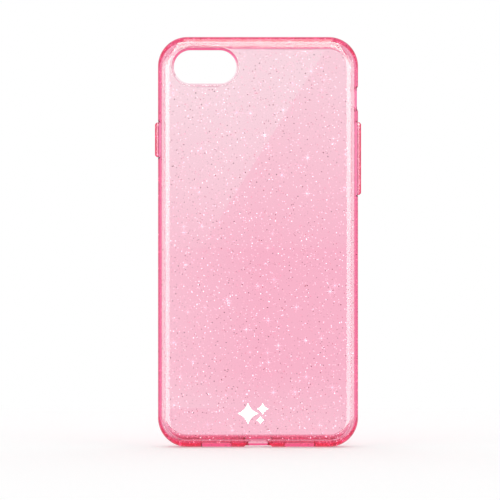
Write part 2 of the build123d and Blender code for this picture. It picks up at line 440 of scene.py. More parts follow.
def groove(floor, mouth, depth, half_size, wall, centre):
    """Trapezoid groove across a wall: floor and mouth are its widths, and its ends slope."""
    bm = bmesh.new()
    bmesh.ops.create_cube(bm, size=1.0)
    slope = (mouth - floor) / 2 / depth
    for v in bm.verts:
        outside = v.co.y < 0
        reach = PAST if outside else -depth
        width = floor + 2 * slope * (depth + reach)
        v.co.y = -half_size - reach
        long_way, short_way = ("x", "z") if wall == "bottom" else ("z", "x")
        setattr(v.co, long_way, math.copysign(width / 2, getattr(v.co, long_way)))
        setattr(v.co, short_way, math.copysign(4 * PAST, getattr(v.co, short_way)))
    return facing(bm, wall, centre)


def slot_through(wall, half_size, centre, width, height, corner):
    """A hole with round corners right through a wall."""
    block = rounded_block(width, height, -half_size - PAST, -half_size + PAST, corner)
    return facing(block, wall, centre)


def button_window(cap, wall):
    """The hole in the wall that a button cover and its web fill."""
    return wall_block(cap, WINDOW_MARGIN + SEAM_GAP, HALF_WIDTH - PAST, HALF_WIDTH + PAST,
                      CAP_CORNER + WINDOW_MARGIN, wall)


MUTE_CENTRE = (0, MID_DEPTH_Y, 50.0 * MM)
MUTE_SLOT = (4.6 * MM, 6.8 * MM, 1.4 * MM)
MUTE_SCOOP = (7.2 * MM, 8.6 * MM, 0.45 * MM)
PORT_CENTRE = (0, MID_DEPTH_Y, 0)
PORT_SLOT = (8.4 * MM, 5.0 * MM, 2.2 * MM)
PORT_SCOOP = (8.8 * MM, 10.2 * MM, 0.7 * MM)
SOUND_SLOT = (11.0 * MM, 2.0 * MM, 1.0 * MM)
SOUND_X = 14.5 * MM

bumper = carve(shell, [seam_block(SEAM_GAP)])
bumper.name = "soft_bumper_frame"
carve(bumper, [
    button_window("side_button_cap", "left"),
    button_window("volume_button_cap", "right"),
    groove(*MUTE_SCOOP, HALF_WIDTH, "right", MUTE_CENTRE),
    slot_through("right", HALF_WIDTH, MUTE_CENTRE, *MUTE_SLOT),
    groove(*PORT_SCOOP, HALF_LENGTH, "bottom", PORT_CENTRE),
    slot_through("bottom", HALF_LENGTH, PORT_CENTRE, *PORT_SLOT),
    slot_through("bottom", HALF_LENGTH, (-SOUND_X, MID_DEPTH_Y, 0), *SOUND_SLOT),
    slot_through("bottom", HALF_LENGTH, (SOUND_X, MID_DEPTH_Y, 0), *SOUND_SLOT),
])
polish(bumper)

# %% [markdown]
# ## Webs and caps
# Each button cover is a stiff little cap that floats in a thin web of the frame's plastic. The
# web is a flat ring, sunk below the wall. The cap stands proud, with a sloped edge all round, and
# small nubs inside press the phone's keys.

# %% Button covers
CAP_EDGE = 0.6 * MM
NUB_WIDTH, NUB_LENGTH, NUB_CORNER = 1.6 * MM, 6.0 * MM, 0.5 * MM
NUB_HEIGHT = 0.3 * MM
NUB_ROOT = 0.2 * MM
VOLUME_KEY_Z = 7.5 * MM


def wall_span(node):
    """How far from the middle of the case a node on a side wall begins and ends."""
    low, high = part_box(node)
    return sorted((abs(low.x), abs(high.x)))


def button_web(name, node, cap, wall):
    """A flat ring that fills the window in the wall round a cap."""
    inner, outer = wall_span(node)
    ring_outside = wall_block(cap, WINDOW_MARGIN - SEAM_GAP, inner, outer,
                              CAP_CORNER + WINDOW_MARGIN, wall)
    web = as_object(ring_outside, name)
    ring_inside = wall_block(cap, WEB_MARGIN, inner - PAST, outer + PAST,
                             CAP_CORNER + WEB_MARGIN, wall)
    carve(web, [ring_inside])
    soften(web, WEB_BREAK)
    return polish(web)


def button_cap(name, node, wall, nub_places):
    """A cover with a sloped edge, and a nub inside for each key that it presses."""
    inner, outer = wall_span(node)
    centre, depth, length = node_face(node)
    under = inner + NUB_HEIGHT
    block = rounded_block(depth, length, -outer, -under, CAP_CORNER, back=CAP_EDGE, rim_steps=1)
    cap = as_object(facing(block, wall, (0, centre.y, centre.z)), name)
    soften(cap, CAP_BREAK, steps=3, sharper_than=30)
    nubs = []
    for place in nub_places:
        nub = rounded_block(NUB_WIDTH, NUB_LENGTH, -(under + NUB_ROOT), -inner, NUB_CORNER,
                            corner_steps=NUB_CORNER_STEPS)
        nubs.append(facing(nub, wall, (0, centre.y, centre.z + place)))
    carve(cap, nubs, "UNION")
    return polish(cap)


side_web = button_web("side_web", "side_button_web", "side_button_cap", "left")
volume_web = button_web("volume_web", "volume_button_web", "volume_button_cap", "right")
side_cap = button_cap("side_cap", "side_button_cap", "left", [0])
volume_cap = button_cap("volume_cap", "volume_button_cap", "right", [-VOLUME_KEY_Z, VOLUME_KEY_Z])

for piece, node, body, slot in (
    (side_web, "side_button_web", "case", "web_resin"),
    (volume_web, "volume_button_web", "case", "web_resin"),
    (side_cap, "side_button_cap", "side_button", "bumper_resin"),
    (volume_cap, "volume_button_cap", "volume_button", "bumper_resin"),
    (panel, "back_panel", "case", "panel_resin"),
    (bumper, "bumper_frame", "case", "bumper_resin"),
    (ring, "camera_ring", "case", "bumper_resin"),
):
    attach(piece, body)
    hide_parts(node)

# %% [markdown]
# ## Marking the outer skin
# Later, the material deepens the colour where the outer skin turns away from the eye, as a
# moulded edge does, and lays painted shade along the case's foot. The walls inside must stay
# clear, so each face carries a mark: 1 on the outer skin and 0 inside. A face belongs to the outer
# skin if its middle lies on the uncut outside block. The camera ring's mark goes by height instead:
# it is painted shade, deep at the top of its window, where the wall faces down out of the light, and clear
# at the foot.

# %% Outer skin
def mark_skin(piece, share):
    """Gives each face a mark from 0 to 1: how much its colour deepens where it turns away; on the camera
    ring, how much painted shade it takes.
    """
    marks = [share(face) for face in piece.data.polygons]
    layer = piece.data.attributes.new("skin_and_shade", "FLOAT", "FACE")
    layer.data.foreach_set("value", marks)
    print(f"{piece.name}: {sum(mark > 0 for mark in marks)} of {len(marks)} faces marked")


SKIN_DEPTH = 0.03 * MM
# How the camera ring's painted shade rises with height.
RING_SHADE_FADE = 4.0 * MM
RING_SHADE_AT_MIDDLE = 0.3
uncut = outside_block()
outside = BVHTree.FromBMesh(uncut)
uncut.free()


def skin_share(face):
    return float(outside.find_nearest(face.center)[3] < SKIN_DEPTH)


# Painted shade on the camera ring: the mark grows towards the top of its window, where the wall is in
# shade.
def shade_by_height(face):
    share = (face.center.z - RING_CENTRE.z) / RING_SHADE_FADE + RING_SHADE_AT_MIDDLE
    return min(1.0, max(0.0, share))


mark_skin(bumper, skin_share)
mark_skin(ring, shade_by_height)
for piece in (side_cap, volume_cap):
    mark_skin(piece, lambda face: 1.0)

# %% [markdown]
# ## Glitter
# The plastic is full of small metal-coated flakes that tumble as it flows. Paint could fake them,
# but real flakes catch the light at their own depths and angles, so they are made: thin six-sided
# foils, closed, a few tenths of a millimetre across. A flake is only kept where it lies wholly
# inside the plastic. Each flake carries a tone, so that some glint pale and a few are smoky.

# %% Flakes
PROBES = [Vector((0.31, 0.83, 0.46)).normalized(), Vector((-0.72, 0.21, 0.66)).normalized()]
RESTART = 0.001 * MM


def crossings(tree, point, along):
    """How many times a straight line from a point goes through a mesh."""
    start, hits = point.copy(), 0
    while True:
        hit, _, _, _ = tree.ray_cast(start, along)
        if hit is None:
            return hits
        hits += 1
        start = hit + along * RESTART


def inside(tree, point, margin):
    """True if a point is inside a closed mesh and at least a margin from its surface."""
    spot, normal, _, distance = tree.find_nearest(point)
    if distance < margin or (point - spot).dot(normal) > 0:
        return False
    return all(crossings(tree, point, way) % 2 == 1 for way in PROBES)


def host_space(host):
    """A search tree of a piece's surface, and its lowest and highest corners."""
    bm = bmesh.new()
    bm.from_mesh(host.data)
    tree = BVHTree.FromBMesh(bm)
    low = Vector([min(v.co[k] for v in bm.verts) for k in range(3)])
    high = Vector([max(v.co[k] for v in bm.verts) for k in range(3)])
    bm.free()
    return tree, low, high


def foil_place(chance, point, tilt):
    """A foil's place: facing the back, with a tilt by chance."""
    turn = Euler((math.radians(90 + chance.gauss(0, tilt)), math.radians(chance.gauss(0, tilt)),
                  math.radians(chance.gauss(0, tilt))))
    return Matrix.Translation(point) @ turn.to_matrix().to_4x4()


FOIL_THICKNESS = 0.025 * MM
FLAKE_MARGIN = 0.02 * MM
FLAKE_SIDES = 6


class FoilPile:
    """Foils poured into one mesh. An operator slows down as its bmesh grows, so they are cut in
    small batches."""

    BATCH = 60

    def __init__(self):
        self.whole = bmesh.new()
        self.cut = 0
        self.start_batch()

    def start_batch(self):
        self.batch = bmesh.new()
        self.tone = self.batch.faces.layers.float.new("flake_tone")

    def pour(self):
        step = bpy.data.meshes.new("batch")
        self.batch.to_mesh(step)
        self.batch.free()
        self.whole.from_mesh(step)
        bpy.data.meshes.remove(step)

    def add(self, segments, radius, place, shade):
        """Cuts one foil disc and returns its corners."""
        made = bmesh.ops.create_cone(self.batch, cap_ends=True, segments=segments, radius1=radius,
                                     radius2=radius, depth=FOIL_THICKNESS, matrix=place)
        for f in {f for v in made["verts"] for f in v.link_faces}:
            f[self.tone] = shade
        self.cut += 1
        return made["verts"]

    def close_batch(self):
        if self.cut % self.BATCH == 0:
            self.pour()
            self.start_batch()


def hand_over_foils(pile, name, body):
    pile.pour()
    foils = as_object(pile.whole, name)
    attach(foils, body)
    print(f"{name}: {pile.cut} foils")
    return foils


def scatter_flakes(name, host, body, count, seed, tilt, outer_bias=1.0):
    """Fills a host piece with flakes, by seeded chance; a bias above 1 crowds them to its back."""
    chance = random.Random(seed)
    tree, low, high = host_space(host)
    pile = FoilPile()
    while pile.cut < count:
        share = Vector((chance.random(), chance.random() ** outer_bias, chance.random()))
        point = Vector([low[k] + share[k] * (high[k] - low[k]) for k in range(3)])
        radius = chance.uniform(*FLAKE_SIZES) * MM
        if not inside(tree, point, radius + FLAKE_MARGIN):
            continue
        pile.add(FLAKE_SIDES, radius, foil_place(chance, point, tilt), chance.random())
        pile.close_batch()
    return hand_over_foils(pile, name, body)


FLAKE_SIZES = (0.08, 0.22)
flakes = [
    # name, host, body, how many, seed, tilt in degrees
    scatter_flakes("panel_glitter", panel, "case", 5400, 11, 11, outer_bias=1.7),
    scatter_flakes("frame_glitter", bumper, "case", 1900, 12, 30),
    scatter_flakes("ring_glitter", ring, "case", 24, 13, 20),
    scatter_flakes("side_cap_glitter", side_cap, "side_button", 16, 14, 30),
    scatter_flakes("volume_cap_glitter", volume_cap, "volume_button", 34, 15, 30),
]

# %% [markdown]
# ## Star glints
# Here and there a larger foil throws a small star of light. It could be made as a glare effect on
# the finished picture, but then it would not belong to the part. So a few foils are cut as eight-rayed
# stars, with rays so thin that they fade out towards their tips.

# %% Star foils
STAR_RAYS = 8
STAR_WAIST = 0.06
STAR_SHORT_RAY = 0.6
STAR_SIZES = (1.3, 2.4)
STAR_DEPTHS = (-1.2, -0.5)
STAR_TONES = (0.6, 0.85)
STAR_TILT = 2
STAR_MARGIN = 0.2 * MM
CROSS = ((0, 0), (1, 0), (-1, 0), (0, 1), (0, -1))


def pull_into_rays(corners, place):
    """Draws a disc's corners in between the rays, and every other ray part of the way."""
    local = place.inverted()
    for v in corners:
        flat = local @ v.co
        step = round(math.atan2(flat.y, flat.x) / (math.pi / STAR_RAYS))
        if step % 2:
            flat.x, flat.y = flat.x * STAR_WAIST, flat.y * STAR_WAIST
        elif step % 4:
            flat.x, flat.y = flat.x * STAR_SHORT_RAY, flat.y * STAR_SHORT_RAY
        v.co = place @ flat


def scatter_stars(name, host, body, count, seed):
    """Sets star-shaped foils in a host piece, each wholly inside it."""
    chance = random.Random(seed)
    tree, low, high = host_space(host)
    pile = FoilPile()
    while pile.cut < count:
        point = Vector([chance.uniform(low[k], high[k]) for k in range(3)])
        point.y = chance.uniform(*STAR_DEPTHS) * MM
        radius = chance.uniform(*STAR_SIZES) * MM
        reaches = [point + Vector((x * radius, 0, z * radius)) for x, z in CROSS]
        if not all(inside(tree, reach, STAR_MARGIN) for reach in reaches):
            continue
        place = foil_place(chance, point, STAR_TILT)
        corners = pile.add(2 * STAR_RAYS, radius, place, chance.uniform(*STAR_TONES))
        pull_into_rays(corners, place)
        pile.close_batch()
    return hand_over_foils(pile, name, body)


flakes.append(scatter_stars("panel_star_glints", panel, "case", 60, 21))

# %% [markdown]
# ## A node group for the look inside the plastic
# All the clear parts share two faint effects: a milky cloudiness, and specks too fine to model.
# One node group makes both from Object coordinates, so that they stay put when a part moves, and
# each material sets its own strengths.

# %% Shared node groups
CLOUD_SCALE, CLOUD_DETAIL = 45, 4
SPECK_CELLS = 1100
SPECK_THRESHOLD = 0.86
SPECK_EDGE, SPECK_CORE = 0.34, 0.16
DEPTHS_IN = (
    ("Clear", "NodeSocketColor", (1, 1, 1, 1)),
    ("Cloudy", "NodeSocketColor", (1, 1, 1, 1)),
    ("Smoky", "NodeSocketColor", (0.5, 0.4, 0.45, 1)),
    ("Speck Amount", "NodeSocketFloat", 0.5),
    ("Rough Low", "NodeSocketFloat", 0.03),
    ("Rough High", "NodeSocketFloat", 0.06),
)
DEPTHS_OUT = (("Color", "NodeSocketColor"), ("Roughness", "NodeSocketFloat"), ("Height", "NodeSocketFloat"))


def new_node(tree, kind, values=None, **settings):
    """Adds a node: settings are its own, and values go to its inputs by name or number."""
    node = tree.nodes.new(kind)
    for key, value in settings.items():
        setattr(node, key, value)
    for key, value in (values or {}).items():
        node.inputs[key].default_value = value
    return node


def plastic_depths():
    """Clear colour with clouds and fine dark specks, and a fine unevenness for roughness."""
    group = bpy.data.node_groups.new("plastic_depths", "ShaderNodeTree")
    for name, kind, value in DEPTHS_IN:
        made = group.interface.new_socket(name=name, in_out="INPUT", socket_type=kind)
        made.default_value = value
    for name, kind in DEPTHS_OUT:
        group.interface.new_socket(name=name, in_out="OUTPUT", socket_type=kind)
    link = group.links.new
    given = new_node(group, "NodeGroupInput")
    out = new_node(group, "NodeGroupOutput")
    where = new_node(group, "ShaderNodeTexCoord")
    clouds = new_node(group, "ShaderNodeTexNoise", {"Scale": CLOUD_SCALE, "Detail": CLOUD_DETAIL})
    cells = new_node(group, "ShaderNodeTexVoronoi", {"Scale": SPECK_CELLS}, feature="F1")
    chosen = new_node(group, "ShaderNodeMath", {1: SPECK_THRESHOLD}, operation="GREATER_THAN")
    near = new_node(group, "ShaderNodeMapRange", {"From Min": SPECK_EDGE, "From Max": SPECK_CORE})
    both = new_node(group, "ShaderNodeMath", operation="MULTIPLY")
    amount = new_node(group, "ShaderNodeMath", operation="MULTIPLY")
    milk = new_node(group, "ShaderNodeMix", data_type="RGBA")
    specks = new_node(group, "ShaderNodeMix", data_type="RGBA")
    rough = new_node(group, "ShaderNodeMapRange")
    split = new_node(group, "ShaderNodeSeparateColor")
    link(where.outputs["Object"], clouds.inputs["Vector"])
    link(where.outputs["Object"], cells.inputs["Vector"])
    link(cells.outputs["Color"], split.inputs["Color"])
    link(split.outputs["Red"], chosen.inputs[0])
    link(cells.outputs["Distance"], near.inputs["Value"])
    link(chosen.outputs[0], both.inputs[0])
    link(near.outputs["Result"], both.inputs[1])
    link(both.outputs[0], amount.inputs[0])
    link(given.outputs["Speck Amount"], amount.inputs[1])
    link(clouds.outputs["Fac"], milk.inputs["Factor"])
    link(given.outputs["Clear"], milk.inputs["A"])
    link(given.outputs["Cloudy"], milk.inputs["B"])
    link(milk.outputs["Result"], specks.inputs["A"])
    link(given.outputs["Smoky"], specks.inputs["B"])
    link(amount.outputs[0], specks.inputs["Factor"])
    link(specks.outputs["Result"], out.inputs["Color"])
    link(clouds.outputs["Fac"], rough.inputs["Value"])
    link(given.outputs["Rough Low"], rough.inputs["To Min"])
    link(given.outputs["Rough High"], rough.inputs["To Max"])
    link(rough.outputs["Result"], out.inputs["Roughness"])
    link(clouds.outputs["Fac"], out.inputs["Height"])
    return group


PLASTIC_DEPTHS = plastic_depths()
print("group sockets:", len(PLASTIC_DEPTHS.interface.items_tree))

# %% [markdown]
# ## Clear pink plastic
# Dyed clear plastic gets deeper in colour the further light travels through it: the thin panel is
# pale, and the rim, where one looks along the wall, is strong pink. That is what a volume
# absorption does, so most of the dye is in the volume and only a little tint is in the surface.
# The volume alone would leave the rounded rim too even, so the soft plastic gets two more masks:
# its outer skin deepens where it turns away from the eye, and a painted shade darkens it along the
# case's foot. Both multiply the surface colour, and only on the faces that were marked; on the
# camera ring the deepening is painted shade at the top of its window.

# %% Clear plastics
CLEAR_IOR = 1.49
WAVINESS, WAVE_HEIGHT = 0.05, 0.05 * MM
EDGE_PINK = (1.0, 0.10, 0.30, 1)
FRAME_BAND = (0.17, 0.37)
# Painted shade on the camera ring: with its mark by height, this band darkens the top of its window.
RING_SHADE_BAND = (0.04, 0.22)
# Painted shade along the case's foot: the marked faces darken to this pink towards the bottom.
FOOT_SHADE_START, FOOT_SHADE_FULL = -0.0683, -0.0705
FOOT_SHADE_PINK = (0.95, 0.20, 0.36, 1)


def empty_material(name):
    """A new material with nothing in it but its output."""
    material = bpy.data.materials.new(name)
    material.use_nodes = True
    material.node_tree.nodes.clear()
    return material, material.node_tree, new_node(material.node_tree, "ShaderNodeOutputMaterial")


def deepened_and_shaded(tree, colour, edge_band):
    """The colour made deeper on marked faces where they turn away, and darkened with painted shade along
    the foot.
    """
    link = tree.links.new
    slant = new_node(tree, "ShaderNodeLayerWeight", {"Blend": 0.5})
    band = new_node(tree, "ShaderNodeMapRange", {"From Min": edge_band[0], "From Max": edge_band[1]},
                    interpolation_type="SMOOTHSTEP")
    skin_and_shade_mark = new_node(tree, "ShaderNodeAttribute", attribute_name="skin_and_shade")
    edge_share = new_node(tree, "ShaderNodeMath", operation="MULTIPLY")
    edge = new_node(tree, "ShaderNodeMix", {"B": EDGE_PINK}, data_type="RGBA", blend_type="MULTIPLY")
    where = new_node(tree, "ShaderNodeTexCoord")
    split = new_node(tree, "ShaderNodeSeparateXYZ")
    # Painted shade: the marked faces darken towards the case's foot.
    foot_shade_fade = new_node(tree, "ShaderNodeMapRange", {"From Min": FOOT_SHADE_START, "From Max": FOOT_SHADE_FULL},
                        interpolation_type="SMOOTHSTEP")
    foot_shade_share = new_node(tree, "ShaderNodeMath", operation="MULTIPLY")
    foot_shade = new_node(tree, "ShaderNodeMix", {"B": FOOT_SHADE_PINK}, data_type="RGBA", blend_type="MULTIPLY")
    link(slant.outputs["Facing"], band.inputs["Value"])
    link(band.outputs["Result"], edge_share.inputs[0])
    link(skin_and_shade_mark.outputs["Fac"], edge_share.inputs[1])
    link(edge_share.outputs[0], edge.inputs["Factor"])
    link(colour, edge.inputs["A"])
    link(where.outputs["Object"], split.inputs["Vector"])
    link(split.outputs["Z"], foot_shade_fade.inputs["Value"])
    link(foot_shade_fade.outputs["Result"], foot_shade_share.inputs[0])
    link(skin_and_shade_mark.outputs["Fac"], foot_shade_share.inputs[1])
    link(foot_shade_share.outputs[0], foot_shade.inputs["Factor"])
    link(edge.outputs["Result"], foot_shade.inputs["A"])
    return foot_shade.outputs["Result"]


def clear_plastic(name, clear, cloudy, smoky, speck, rough, dye, density, edge_band=None):
    """A dyed clear plastic; with an edge band, its marked faces deepen too (on the camera ring this is
    painted shade), and darken with painted shade along the case's foot.
    """
    material, tree, out = empty_material(name)
    link = tree.links.new
    skin = new_node(tree, "ShaderNodeBsdfPrincipled",
                    {"Transmission Weight": 1.0, "IOR": CLEAR_IOR, "Metallic": 0.0})
    depths = new_node(tree, "ShaderNodeGroup", node_tree=PLASTIC_DEPTHS)
    for key, value in (("Clear", (*clear, 1)), ("Cloudy", (*cloudy, 1)), ("Smoky", (*smoky, 1)),
                       ("Speck Amount", speck), ("Rough Low", rough[0]), ("Rough High", rough[1])):
        depths.inputs[key].default_value = value
    uneven = new_node(tree, "ShaderNodeBump", {"Strength": WAVINESS, "Distance": WAVE_HEIGHT})
    bulk = new_node(tree, "ShaderNodeVolumeAbsorption", {"Color": (*dye, 1), "Density": density})
    colour = depths.outputs["Color"]
    if edge_band:
        colour = deepened_and_shaded(tree, colour, edge_band)
    link(colour, skin.inputs["Base Color"])
    link(depths.outputs["Roughness"], skin.inputs["Roughness"])
    link(depths.outputs["Height"], uneven.inputs["Height"])
    link(uneven.outputs["Normal"], skin.inputs["Normal"])
    link(skin.outputs["BSDF"], out.inputs["Surface"])
    link(bulk.outputs["Volume"], out.inputs["Volume"])
    print(f"{name}: dye density {density}")
    return material


SOFT_DYE = (0.94, 0.10, 0.40)
SOFT_SMOKE = (0.62, 0.46, 0.53)
SOFT = {"clear": (1.0, 0.93, 0.95), "cloudy": (0.98, 0.91, 0.94), "smoky": SOFT_SMOKE,
        "speck": 0.5, "rough": (0.03, 0.06), "dye": SOFT_DYE}

PANEL_PLASTIC = clear_plastic(
    "clear_pink_panel", clear=(1.0, 0.935, 0.955), cloudy=(0.99, 0.915, 0.945),
    smoky=(0.62, 0.50, 0.56), speck=0.5, rough=(0.015, 0.03), dye=(0.956, 0.05, 0.378), density=450)
# The frame takes painted shade along its foot, and the ring painted shade at the top of its window.
FRAME_PLASTIC = clear_plastic("soft_pink_frame", **SOFT, density=180, edge_band=FRAME_BAND)
RING_PLASTIC = clear_plastic("soft_pink_ring", **SOFT, density=180, edge_band=RING_SHADE_BAND)
CAP_PLASTIC = clear_plastic("deep_pink_cap", **SOFT, density=420, edge_band=FRAME_BAND)
WEB_PLASTIC = clear_plastic(
    "thin_pink_web", clear=(1.0, 0.88, 0.92), cloudy=(0.98, 0.86, 0.91),
    smoky=SOFT_SMOKE, speck=0.4, rough=(0.05, 0.10), dye=SOFT_DYE, density=200)


def dress(piece, material):
    piece.data.materials.clear()
    piece.data.materials.append(material)


for piece, material in ((panel, PANEL_PLASTIC), (bumper, FRAME_PLASTIC), (ring, RING_PLASTIC),
                        (side_cap, CAP_PLASTIC), (volume_cap, CAP_PLASTIC),
                        (side_web, WEB_PLASTIC), (volume_web, WEB_PLASTIC)):
    dress(piece, material)

# %% [markdown]
# ## Foil and ink
# The flakes are metal-coated foil. Each flake's own tone picks its colour from a ramp that runs
# from smoky to silver and pale pink, and the paler a flake is, the more it also glows, which
# stands in for the glint that a flake throws when it meets a lamp. The sparkles are an opaque
# white ink with a faint unevenness where the screen laid it down.

# %% Foil and ink materials
GLINT_START = 0.15
GLINT_STRENGTH = 1.2
GRAIN_SCALE = 4000
FOIL_ROUGH = {"To Min": 0.18, "To Max": 0.34}
FOIL_TONES = (
    (0.0, (0.30, 0.20, 0.24, 1)),
    (0.13, (0.50, 0.35, 0.40, 1)),
    (0.18, (0.9, 0.72, 0.78, 1)),
    (0.6, (0.98, 0.9, 0.92, 1)),
    (1.0, (1.0, 0.93, 0.95, 1)),
)
INK_SCALE, INK_DETAIL = 2500, 3
INK_RELIEF = {"Strength": 0.25, "Distance": 0.02 * MM}
INK_THICK, INK_THIN = (0.93, 0.88, 0.895, 1), (0.82, 0.72, 0.75, 1)


def foil():
    material, tree, out = empty_material("glitter_foil")
    link = tree.links.new
    skin = new_node(tree, "ShaderNodeBsdfPrincipled",
                    {"Metallic": 1.0, "Emission Strength": GLINT_STRENGTH})
    tone = new_node(tree, "ShaderNodeAttribute", attribute_name="flake_tone")
    ramp = new_node(tree, "ShaderNodeValToRGB")
    stops = ramp.color_ramp.elements
    stops[0].position, stops[0].color = FOIL_TONES[0]
    stops[1].position, stops[1].color = FOIL_TONES[-1]
    for position, colour in FOIL_TONES[1:-1]:
        stops.new(position).color = colour
    where = new_node(tree, "ShaderNodeTexCoord")
    grain = new_node(tree, "ShaderNodeTexNoise", {"Scale": GRAIN_SCALE})
    rough = new_node(tree, "ShaderNodeMapRange", FOIL_ROUGH)
    glint = new_node(tree, "ShaderNodeMapRange", {"From Min": GLINT_START, "From Max": 1.0})
    tint = new_node(tree, "ShaderNodeMix", {"Factor": 1.0}, data_type="RGBA", blend_type="MULTIPLY")
    link(where.outputs["Object"], grain.inputs["Vector"])
    link(grain.outputs["Fac"], rough.inputs["Value"])
    link(rough.outputs["Result"], skin.inputs["Roughness"])
    link(tone.outputs["Fac"], ramp.inputs["Fac"])
    link(tone.outputs["Fac"], glint.inputs["Value"])
    link(ramp.outputs["Color"], tint.inputs["A"])
    link(glint.outputs["Result"], tint.inputs["B"])
    link(tint.outputs["Result"], skin.inputs["Emission Color"])
    link(ramp.outputs["Color"], skin.inputs["Base Color"])
    link(skin.outputs["BSDF"], out.inputs["Surface"])
    return material


def white_ink():
    material, tree, out = empty_material("white_screen_ink")
    link = tree.links.new
    skin = new_node(tree, "ShaderNodeBsdfPrincipled", {"Roughness": 0.4})
    where = new_node(tree, "ShaderNodeTexCoord")
    mottle = new_node(tree, "ShaderNodeTexNoise", {"Scale": INK_SCALE, "Detail": INK_DETAIL})
    shade = new_node(tree, "ShaderNodeMix", {"A": INK_THICK, "B": INK_THIN}, data_type="RGBA")
    raised = new_node(tree, "ShaderNodeBump", INK_RELIEF)
    link(where.outputs["Object"], mottle.inputs["Vector"])
    link(mottle.outputs["Fac"], shade.inputs["Factor"])
    link(shade.outputs["Result"], skin.inputs["Base Color"])
    link(mottle.outputs["Fac"], raised.inputs["Height"])
    link(raised.outputs["Normal"], skin.inputs["Normal"])
    link(skin.outputs["BSDF"], out.inputs["Surface"])
    return material


FOIL, WHITE_INK = foil(), white_ink()
for piece in flakes:
    dress(piece, FOIL)
for node in PRINTS:
    for material_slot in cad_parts[node].material_slots:
        material_slot.material = WHITE_INK
    print(node, "slots:", len(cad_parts[node].material_slots))

# %% [markdown]
# ## Table top and background
# A clear object takes its look from what is behind it, so the studio is white all round. What the
# surfaces mirror is kept dimmer, as black flags do in a real studio, or the rims would wash out.
# The table is matt and glows a little, so that under the white world alone it is as white as the
# background. It is also left out of what the plastic mirrors, or it would cut off the pale bands
# that the softboxes draw on the long sides.

# %% Floor and world
LIGHT_BOUNCES = 24
MIRROR_BOUNCES = 12
TABLE_HALF = 0.25
TABLE_Z = CAD_LOW.z - 0.05 * MM
TABLE_ALBEDO = 0.8
WHITE = (1, 1, 1, 1)
FLAG_LEVEL = 0.5

scene = bpy.context.scene
scene.view_settings.view_transform = "Standard"
scene.cycles.max_bounces = LIGHT_BOUNCES
scene.cycles.transmission_bounces = LIGHT_BOUNCES
scene.cycles.glossy_bounces = MIRROR_BOUNCES

floor_bm = bmesh.new()
bmesh.ops.create_grid(floor_bm, x_segments=1, y_segments=1, size=TABLE_HALF)
bmesh.ops.translate(floor_bm, vec=(0, 0, TABLE_Z), verts=floor_bm.verts)
floor = as_object(floor_bm, "table_top")
table, table_tree, table_out = empty_material("matt_table")
table_skin = new_node(table_tree, "ShaderNodeBsdfPrincipled", {
    "Base Color": (TABLE_ALBEDO, TABLE_ALBEDO, TABLE_ALBEDO, 1), "Emission Color": WHITE,
    "Emission Strength": 1 - TABLE_ALBEDO, "Roughness": 0.9, "Specular IOR Level": 0.0})
table_tree.links.new(table_skin.outputs["BSDF"], table_out.inputs["Surface"])
dress(floor, table)
floor.visible_glossy = False

world = bpy.data.worlds.new("white_studio")
scene.world = world
world.use_nodes = True
sky = world.node_tree
sky.nodes.clear()
ray = new_node(sky, "ShaderNodeLightPath")
mirrored_ray = new_node(sky, "ShaderNodeMath", operation="SUBTRACT", use_clamp=True)
level = new_node(sky, "ShaderNodeMapRange", {"To Min": 1.0, "To Max": FLAG_LEVEL})
glow = new_node(sky, "ShaderNodeBackground", {"Color": WHITE})
sky_out = new_node(sky, "ShaderNodeOutputWorld")
sky.links.new(ray.outputs["Is Glossy Ray"], mirrored_ray.inputs[0])
sky.links.new(ray.outputs["Is Transmission Ray"], mirrored_ray.inputs[1])
sky.links.new(mirrored_ray.outputs[0], level.inputs["Value"])
sky.links.new(level.outputs["Result"], glow.inputs["Strength"])
sky.links.new(glow.outputs["Background"], sky_out.inputs["Surface"])
print("table top at z, mm:", round(TABLE_Z / MM, 2))

# %% [markdown]
# ## Camera
# A near camera would show the case's sides splaying out. A long lens, a metre away and level with
# the case's middle, keeps them straight, as in a catalogue.

# %% Camera
CAMERA_DISTANCE = 1.0
VIEW_WIDTH = 174 * MM
CAMERA_X, CAMERA_Z = -2.8 * MM, -2.8 * MM
SENSOR_MM = 36
eye = bpy.data.cameras.new("eye")
eye.sensor_width = SENSOR_MM
eye.lens = SENSOR_MM * CAMERA_DISTANCE / VIEW_WIDTH
camera = bpy.data.objects.new("eye", eye)
scene.collection.objects.link(camera)
camera.location = (CAMERA_X, -CAMERA_DISTANCE, CAMERA_Z)
camera.rotation_euler = (math.radians(90), 0, 0)
scene.camera = camera
print("lens, mm:", round(eye.lens, 1))

# %% [markdown]
# ## Softboxes
# A softbox on each side of the camera, with a weaker fill further round, draws the pale bands on
# the long edges. Two above the camera, one high and one like a brow, light the top edge, and a
# small one overhead lights the rim from above. Their light is linked to everything but the table,
# which would burn out under them, and the eye never sees them, straight or through the plastic.

# %% Softboxes
LAMP_COLOUR = (0.85, 0.95, 0.78)
SIDE_AIM = (0, 0, 0.1)
TOP_AIM = (0, 0, 0.07)
SOFTBOXES = [
    # name, place, aim, width, height, radiance
    ("softbox_left", (-0.68, -1.22, 0.1), SIDE_AIM, 1.3, 0.8, 6.5),
    ("softbox_left_fill", (-1.2, -0.55, 0.1), SIDE_AIM, 0.7, 0.6, 2.5),
    ("softbox_right", (0.68, -1.22, 0.1), SIDE_AIM, 1.3, 0.8, 6.5),
    ("softbox_right_fill", (1.2, -0.55, 0.1), SIDE_AIM, 0.7, 0.6, 2.5),
    ("softbox_top", (0, -0.75, 1.0), TOP_AIM, 1.1, 1.05, 12.0),
    ("softbox_brow", (0, -1.35, 0.6), TOP_AIM, 1.1, 0.36, 12.0),
    ("softbox_overhead", (0, 0.05, 0.9), (0, 0.05, 0), 0.3, 0.4, 5.0),
]
UNLIT = bpy.data.collections.new("kept_from_the_softboxes")
UNLIT.objects.link(floor)
